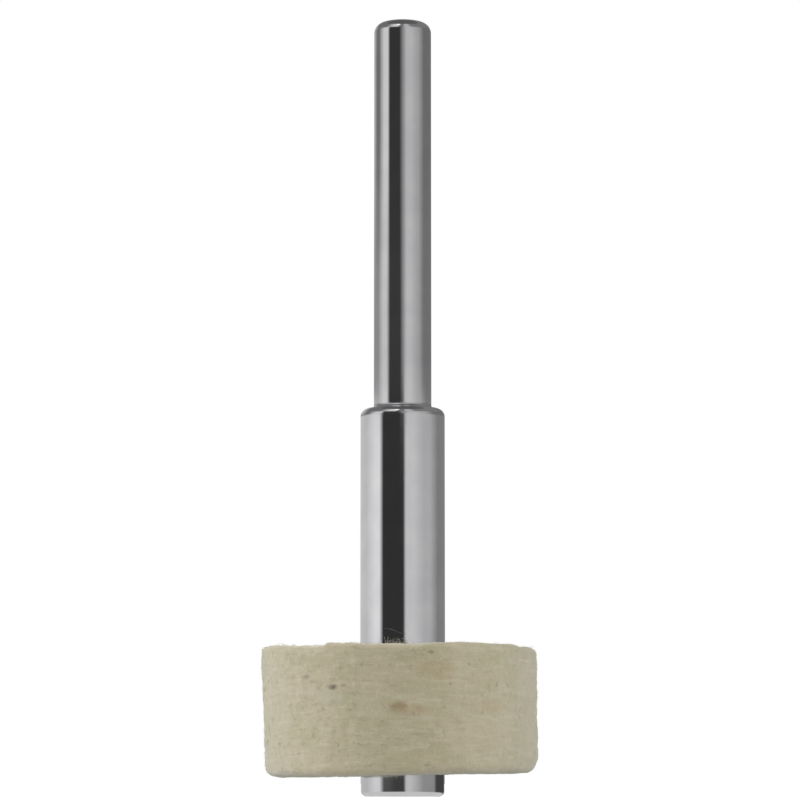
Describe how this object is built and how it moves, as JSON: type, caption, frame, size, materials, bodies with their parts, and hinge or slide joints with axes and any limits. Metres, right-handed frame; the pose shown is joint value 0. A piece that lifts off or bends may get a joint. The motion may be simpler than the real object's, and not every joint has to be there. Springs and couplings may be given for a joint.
{
  "type": "mandrel-mounted felt polishing wheel",
  "caption": "Cylindrical wool felt polishing wheel clamped by a slotted screw against the collar of a straight steel mandrel with a thinner collet shank.",
  "frame": {"origin": "centre of the clamp screw head's flat outer face, which is the bottom of the part as it stands", "axes": "+Z along the common axis, from the screw head up the mandrel to the free end of the shank"},
  "size_m": [0.015, 0.015, 0.043],
  "materials": {
    "plated_steel": "bright plated turned steel, mirror smooth",
    "wool_felt": "undyed pressed wool felt, beige grey, slightly fuzzy"
  },
  "bodies": {
    "wheel": {"felt_wheel": "wool_felt"},
    "screw": {"clamp_screw": "plated_steel"},
    "mandrel": {"mandrel": "plated_steel"}
  },
  "joints": [
    {"name": "screw_turn", "type": "hinge", "parent": "wheel", "child": "screw", "pos_m": [0, 0, 0], "axis": [0, 0, -1], "range_deg": [0, 5041]},
    {"name": "mandrel_lift", "type": "slide", "parent": "wheel", "child": "mandrel", "axis": [0, 0, 1], "range_m": [0, 0.0063]}
  ],
  "couplings": [
    {"joint": "screw_turn", "follows": "mandrel_lift", "rad_per_m": 13963}
  ]
}
